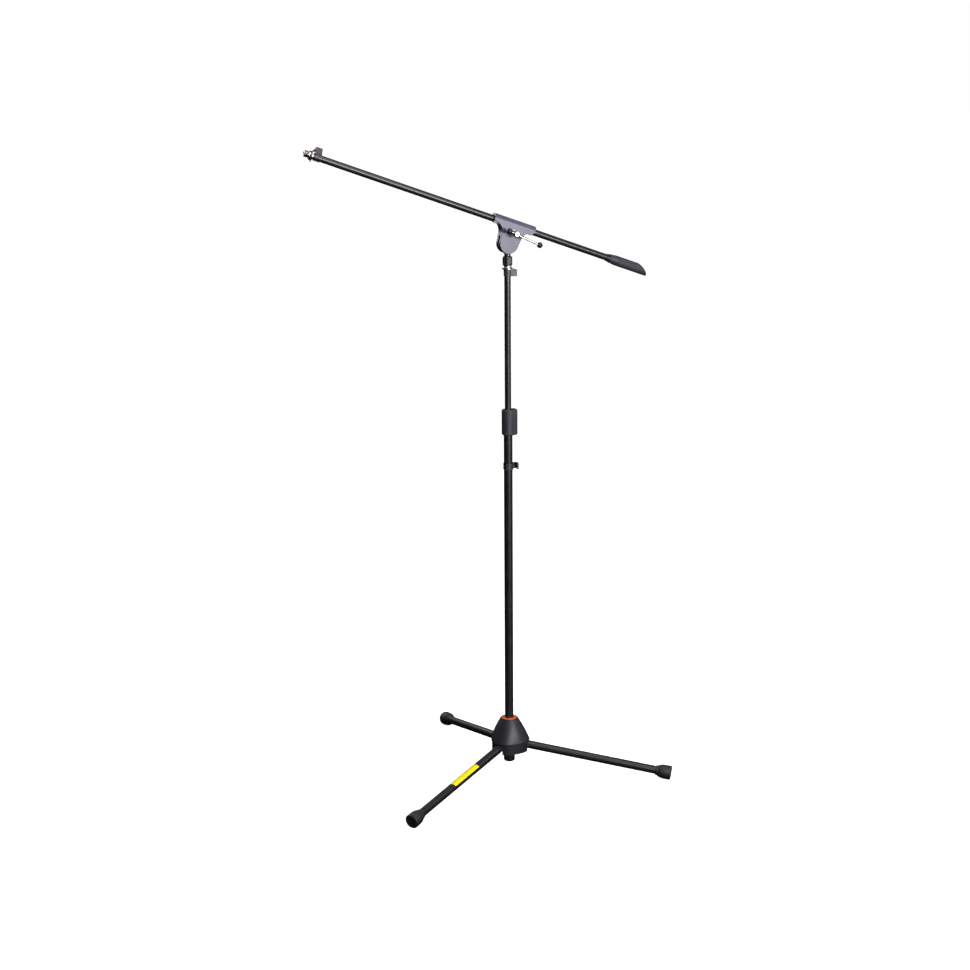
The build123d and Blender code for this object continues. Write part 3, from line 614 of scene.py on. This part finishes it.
def grain_group():
    """Height = depth x (fine noise - 0.5), plus a third as much noise four times as coarse."""
    tree, given, result = group("fine grain", {"Size": 0.0008, "Depth": 0.00003}, ["Height"])
    often = calculate(tree, "DIVIDE", 1.0, given["Size"])
    fine = calculate(tree, "SUBTRACT", noise(tree, often), 0.5)
    coarse = calculate(tree, "SUBTRACT", noise(tree, calculate(tree, "MULTIPLY", often, 0.25), 1.0), 0.5)
    both = calculate(tree, "MULTIPLY_ADD", coarse, 0.35, fine)
    tree.links.new(calculate(tree, "MULTIPLY", both, given["Depth"]), result["Height"])
    return tree


def handling_group():
    """Value = middle + 2 x spread x (slow noise - 0.5): smudges and uneven gloss.
    Mask = 3 x (slow noise - 0.35), kept from 0 to 1."""
    numbers = {"Size": 0.03, "Middle": 0.4, "Spread": 0.08}
    tree, given, result = group("handling", numbers, ["Value", "Mask"])
    slow = noise(tree, calculate(tree, "DIVIDE", 1.0, given["Size"]), 4.0)
    swing = calculate(tree, "SUBTRACT", slow, 0.5)
    double = calculate(tree, "MULTIPLY", given["Spread"], 2.0)
    tree.links.new(calculate(tree, "MULTIPLY_ADD", swing, double, given["Middle"]), result["Value"])
    lifted = calculate(tree, "SUBTRACT", slow, 0.35)
    tree.links.new(calculate(tree, "MULTIPLY", lifted, 3.0, clamp=True), result["Mask"])
    return tree


def wear_group():
    """Mask = how far the normal of a rounded edge leans from the real one, broken up by noise."""
    tree, given, result = group("edge wear", {"Radius": 0.0006, "Amount": 1.0}, ["Mask"])
    rounded = tree.nodes.new("ShaderNodeBevel")
    rounded.samples = 6
    tree.links.new(given["Radius"], rounded.inputs["Radius"])
    geometry = tree.nodes.new("ShaderNodeNewGeometry")
    lean = tree.nodes.new("ShaderNodeVectorMath")
    lean.operation = "DOT_PRODUCT"
    tree.links.new(rounded.outputs["Normal"], lean.inputs[0])
    tree.links.new(geometry.outputs["Normal"], lean.inputs[1])
    turned_away = calculate(tree, "SUBTRACT", 1.0, lean.outputs["Value"])
    broken = calculate(tree, "MULTIPLY", turned_away, calculate(tree, "MULTIPLY", noise(tree, 900.0), 6.0))
    tree.links.new(calculate(tree, "MULTIPLY", broken, given["Amount"], clamp=True), result["Mask"])
    return tree


def dust_group():
    """Mask = the normal's upward part cubed, times patchy noise, times the amount."""
    tree, given, result = group("dust", {"Amount": 0.1}, ["Mask"])
    geometry = tree.nodes.new("ShaderNodeNewGeometry")
    parts = tree.nodes.new("ShaderNodeSeparateXYZ")
    tree.links.new(geometry.outputs["Normal"], parts.inputs[0])
    facing = calculate(tree, "POWER", calculate(tree, "MAXIMUM", parts.outputs["Z"], 0.0), 3.0)
    patchy = calculate(tree, "MULTIPLY", facing, noise(tree, 140.0, 5.0))
    tree.links.new(calculate(tree, "MULTIPLY", patchy, given["Amount"], clamp=True), result["Mask"])
    return tree


def turning_group():
    """Height = depth x sine of the place along the piece's own axis: the lathe tool's rings."""
    tree, given, result = group("turning marks", {"Pitch": 0.00025, "Depth": 0.000004}, ["Height"])
    along = tree.nodes.new("ShaderNodeAttribute")
    along.attribute_name = "along"
    angle = calculate(tree, "MULTIPLY", along.outputs["Fac"], 2 * math.pi)
    turns = calculate(tree, "DIVIDE", angle, given["Pitch"])
    shaken = calculate(tree, "ADD", turns, calculate(tree, "MULTIPLY", noise(tree, 700.0), 5.0))
    wave = calculate(tree, "SINE", shaken)
    tree.links.new(calculate(tree, "MULTIPLY", wave, given["Depth"]), result["Height"])
    return tree


effects = {"grain": grain_group(), "handling": handling_group(), "wear": wear_group(),
           "dust": dust_group(), "turning": turning_group()}
print("effects:", ", ".join(effects))

# %% [markdown]
# Every finish on the stand is a base colour that drifts a little, a gloss that is uneven from handling,
# a fine relief, some dust, and on hard parts a little wear. One function lays that out, and each finish
# calls it with its own numbers. Values that never change over the surface sit on the shader itself.

# %% A finish
def effect(tree, name, **values):
    """Places a node group and sets its inputs. Returns its outputs."""
    node = tree.nodes.new("ShaderNodeGroup")
    node.node_tree = effects[name]
    for label, value in values.items():
        node.inputs[label].default_value = value
    return node.outputs


def blended(tree, share, below, above):
    """A colour that goes from below to above as the share goes from 0 to 1."""
    mix = tree.nodes.new("ShaderNodeMix")
    mix.data_type = "RGBA"
    sockets = [s for s in mix.inputs if s.enabled and s.type == "RGBA"]
    for socket, colour in zip(sockets, (below, above)):
        if isinstance(colour, tuple):
            socket.default_value = (*colour, 1.0)
        else:
            tree.links.new(colour, socket)
    tree.links.new(share, mix.inputs["Factor"])
    return [s for s in mix.outputs if s.enabled and s.type == "RGBA"][0]


dust_colour = (0.42, 0.40, 0.37)


def finish(name, colour, drift, gloss, spread=0.06, grain=0.0008, depth=0.00002, dust=0.1, metallic=0.0,
           wear=None, coat=0.0, turning=0.0, patch=0.03, specular=0.5):
    material = bpy.data.materials.new(name)
    material.use_nodes = True
    tree = material.node_tree
    shader = tree.nodes["Principled BSDF"]
    shader.inputs["Metallic"].default_value = metallic
    shader.inputs["Coat Weight"].default_value = coat
    shader.inputs["Specular IOR Level"].default_value = specular
    handled = effect(tree, "handling", Size=patch, Middle=gloss, Spread=spread)
    tint = blended(tree, handled["Mask"], colour, drift)
    rough = handled["Value"]
    if wear is not None:
        worn = effect(tree, "wear", Radius=0.0007, Amount=wear[1])["Mask"]
        tint = blended(tree, worn, tint, wear[0])
        rough = calculate(tree, "MULTIPLY_ADD", worn, -0.12, rough)
    dusty = effect(tree, "dust", Amount=dust)["Mask"]
    tint = blended(tree, dusty, tint, dust_colour)
    rough = calculate(tree, "MULTIPLY_ADD", dusty, 0.5, rough, clamp=True)
    tree.links.new(tint, shader.inputs["Base Color"])
    tree.links.new(rough, shader.inputs["Roughness"])
    height = effect(tree, "grain", Size=grain, Depth=depth)["Height"]
    if turning:
        height = calculate(tree, "ADD", height, effect(tree, "turning", Depth=turning)["Height"])
    bump = tree.nodes.new("ShaderNodeBump")
    bump.inputs["Distance"].default_value = 1.0
    tree.links.new(height, bump.inputs["Height"])
    tree.links.new(bump.outputs["Normal"], shader.inputs["Normal"])
    return material


# %% [markdown]
# The tubes are steel under a satin black powder coat, with the faint orange peel of melted powder. The
# castings have a coarser coat. Rubber is the dullest, plated parts are the brightest.

# %% The finishes
finishes = {
    "black_tube": finish("black_tube", (0.006, 0.006, 0.007), (0.010, 0.010, 0.012), 0.36, spread=0.05,
                         grain=0.0011, depth=0.000012, dust=0.03, coat=0.1),
    "black_casting": finish("black_casting", (0.008, 0.008, 0.009), (0.012, 0.012, 0.014), 0.48, grain=0.0006,
                            depth=0.00003, dust=0.05, wear=((0.16, 0.16, 0.17), 0.4)),
    "swivel_casting": finish("swivel_casting", (0.056, 0.051, 0.082), (0.074, 0.068, 0.104), 0.36,
                             grain=0.0006, depth=0.00003, dust=0.05, wear=((0.35, 0.35, 0.37), 0.5)),
    "black_plastic": finish("black_plastic", (0.007, 0.007, 0.008), (0.011, 0.011, 0.013), 0.34, grain=0.0009,
                            depth=0.000015, dust=0.03),
    "clip_plastic": finish("clip_plastic", (0.022, 0.022, 0.027), (0.034, 0.034, 0.040), 0.42, grain=0.0007,
                           depth=0.00002, dust=0.10),
    "grip_rubber": finish("grip_rubber", (0.018, 0.018, 0.021), (0.026, 0.026, 0.030), 0.56, grain=0.0005,
                          depth=0.00004, dust=0.05),
    "foot_rubber": finish("foot_rubber", (0.006, 0.006, 0.006), (0.010, 0.010, 0.010), 0.58, grain=0.0006,
                          depth=0.00004, dust=0.08),
    "orange_plastic": finish("orange_plastic", (0.84, 0.10, 0.01), (0.90, 0.15, 0.02), 0.28, grain=0.001,
                             depth=0.000008, dust=0.08, coat=0.3),
    "yellow_label": finish("yellow_label", (0.86, 0.76, 0.004), (0.92, 0.83, 0.008), 0.36, grain=0.004,
                           depth=0.00005, dust=0.02, specular=0.25),
    "nickel": finish("nickel", (0.66, 0.62, 0.56), (0.56, 0.51, 0.44), 0.20, spread=0.05, grain=0.0012,
                     depth=0.000004, dust=0.04, metallic=1.0, turning=0.000003),
    "neck_metal": finish("neck_metal", (0.10, 0.10, 0.11), (0.07, 0.07, 0.08), 0.46, grain=0.001,
                         depth=0.000008, dust=0.05, metallic=1.0),
    "zinc_steel": finish("zinc_steel", (0.20, 0.20, 0.22), (0.15, 0.15, 0.17), 0.50, grain=0.001,
                         depth=0.000008, dust=0.06, metallic=1.0),
    "brass_insert": finish("brass_insert", (0.78, 0.58, 0.24), (0.66, 0.46, 0.18), 0.26, grain=0.001,
                           depth=0.000006, dust=0.05, metallic=1.0),
    "nylon": finish("nylon", (0.72, 0.70, 0.64), (0.64, 0.62, 0.56), 0.45, grain=0.0009,
                    depth=0.00001, dust=0.05),
}

for node in nodes.values():
    for holder in node.material_slots:
        holder.material = finishes[holder.material.name.split(".")[0]]
for piece in made:
    piece.data.materials.append(finishes[piece["finish"]])
print(len(finishes), "finishes on", len(nodes), "nodes and", len(made), "pieces")

# %% [markdown]
# The stand is shown on a plain pale floor under soft studio light. A large soft lamp in front and to
# the right gives the long highlight on each tube. Smaller ones stand above, at the right edge and
# behind. Black paint shows what it mirrors, so the camera sees a white floor and sky while the stand
# mirrors dark ones. The floor is only a stage, not part of the stand.

# %% Stage and light
def plane(name, half, height):
    """A square on the floor."""
    mesh = bpy.data.meshes.new(name)
    corners = [(-half, -half, height), (half, -half, height), (half, half, height), (-half, half, height)]
    mesh.from_pydata(corners, [], [(0, 1, 2, 3)])
    sheet = bpy.data.objects.new(name, mesh)
    bpy.context.scene.collection.objects.link(sheet)
    return sheet


floor = plane("floor", 60.0, -0.0004)
floor_paint = bpy.data.materials.new("pale floor")
floor_paint.use_nodes = True
paint = floor_paint.node_tree
floor_shader = paint.nodes["Principled BSDF"]
floor_shader.inputs["Roughness"].default_value = 0.9
floor_shader.inputs["Specular IOR Level"].default_value = 0.1
seen = paint.nodes.new("ShaderNodeLightPath").outputs["Is Camera Ray"]
floor_tint = blended(paint, seen, (0.02, 0.02, 0.02), (0.95, 0.95, 0.95))
floor_glow = blended(paint, seen, (0.0, 0.0, 0.0), (0.85, 0.85, 0.85))
paint.links.new(floor_tint, floor_shader.inputs["Base Color"])
paint.links.new(floor_glow, floor_shader.inputs["Emission Color"])
floor_shader.inputs["Emission Strength"].default_value = 1.0
floor.data.materials.append(floor_paint)


def lamp(name, position, aim, size, power):
    """A rectangular soft lamp that faces the aim."""
    light = bpy.data.lights.new(name, "AREA")
    light.shape = "RECTANGLE"
    light.size, light.size_y = size
    light.energy = power
    light.color = (0.95, 0.93, 1.0)
    shade = bpy.data.objects.new(name, light)
    bpy.context.scene.collection.objects.link(shade)
    back = unit(np.subtract(position, aim))
    right = unit(np.cross(up, back))
    frame_rows = np.column_stack([right, np.cross(back, right), back, position])
    shade.matrix_world = Matrix([*frame_rows.tolist(), [0, 0, 0, 1]])


lamp("key", (0.85, -3.8, 1.50), (0.0, 0.0, 1.35), (2.3, 1.4), 190.0)
lamp("top", (0.0, -1.0, 2.7), (0.0, 0.0, 1.45), (1.8, 0.9), 20.0)
lamp("edge", (3.0, -0.4, 1.6), (0.0, 0.0, 1.2), (0.7, 1.2), 9.0)
lamp("rear", (-1.2, 3.6, 2.2), (0.0, 0.0, 1.0), (2.4, 1.6), 45.0)

world = bpy.data.worlds.new("pale surroundings")
world.use_nodes = True
sky = world.node_tree
direction = sky.nodes.new("ShaderNodeSeparateXYZ")
sky.links.new(sky.nodes.new("ShaderNodeTexCoord").outputs["Generated"], direction.inputs[0])
height = calculate(sky, "MULTIPLY_ADD", direction.outputs["Z"], 1.2, 0.0, clamp=True)
glow = calculate(sky, "MULTIPLY_ADD", height, 0.22, 0.03)
seen = sky.nodes.new("ShaderNodeLightPath").outputs["Is Camera Ray"]
unseen = calculate(sky, "SUBTRACT", 1.0, seen)
steady = calculate(sky, "MULTIPLY_ADD", unseen, calculate(sky, "SUBTRACT", glow, 1.0), 1.0)
sky.links.new(steady, sky.nodes["Background"].inputs["Strength"])
sky.nodes["Background"].inputs["Color"].default_value = (1.0, 1.0, 1.0, 1.0)
bpy.context.scene.world = world
bpy.context.scene.view_settings.view_transform = "Standard"

# %% [markdown]
# The camera stands in front and a little to the left, above the middle of the stand, and looks down on
# it slightly. A long lens from far away keeps the tubes nearly parallel in the picture.

# %% Camera
def rolled(right, above, angle):
    """Right and above, both turned by the angle in their own plane."""
    cos, sin = math.cos(angle), math.sin(angle)
    return cos * right + sin * above, cos * above - sin * right


camera_heading = math.radians(-22.33)
camera_distance = 4.3866
camera_height = 1.7685
look_heading = math.radians(21.57)
look_down = math.radians(12.826)
stand_point = np.array([math.sin(camera_heading) * camera_distance,
                        -math.cos(camera_heading) * camera_distance, camera_height])
forward = np.array([math.sin(look_heading) * math.cos(look_down),
                    math.cos(look_heading) * math.cos(look_down), -math.sin(look_down)])
level = unit(np.cross(forward, up))
camera_roll = -0.00684
right, above = rolled(level, np.cross(level, forward), camera_roll)
lens = bpy.data.cameras.new("camera")
lens.lens = 66.80
lens.sensor_width = 36.0
lens.clip_end = 200.0
camera = bpy.data.objects.new("camera", lens)
bpy.context.scene.collection.objects.link(camera)
camera_rows = np.column_stack([right, above, -forward, stand_point])
camera.matrix_world = Matrix([*camera_rows.tolist(), [0, 0, 0, 1]])
bpy.context.scene.camera = camera
print("camera at", stand_point.round(3))
